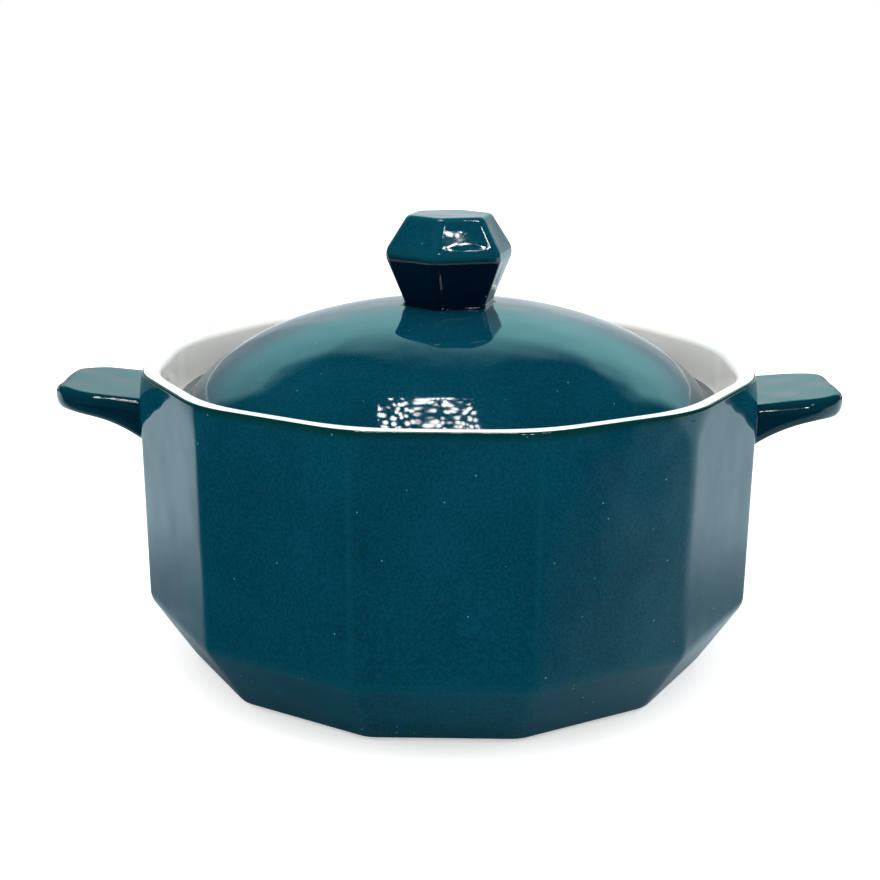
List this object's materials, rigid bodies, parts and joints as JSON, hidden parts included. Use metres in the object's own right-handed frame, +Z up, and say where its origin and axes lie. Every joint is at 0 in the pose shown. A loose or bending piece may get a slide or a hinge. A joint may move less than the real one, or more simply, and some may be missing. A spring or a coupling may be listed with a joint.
{
  "type": "ceramic casserole pot",
  "caption": "Twelve-sided glazed stoneware casserole with lug handles and a domed lift-off lid with a faceted knob, teal outside and white inside.",
  "frame": {"origin": "middle of the foot ring's underside, on the surface that the pot stands on", "axes": "+X through the right-hand handle as seen from the front, +Y to the back, +Z up through the knob"},
  "size_m": [0.2922, 0.2224, 0.1652],
  "materials": {
    "teal_glaze": "high-gloss coloured glaze",
    "white_glaze": "gloss white glaze",
    "bare_clay": "unglazed fired stoneware"
  },
  "bodies": {
    "pot": {"pot_body": "bare_clay", "pot_outer_glaze": "teal_glaze", "pot_liner_glaze": "white_glaze", "handle_left": "teal_glaze", "handle_right": "teal_glaze"},
    "lid": {"lid_body": "bare_clay", "lid_top_glaze": "teal_glaze", "lid_under_glaze": "white_glaze", "knob": "teal_glaze"}
  },
  "joints": [
    {"name": "lid_lift", "type": "slide", "parent": "pot", "child": "lid", "axis": [0, 0, 1], "range_m": [0, 0.15]}
  ]
}
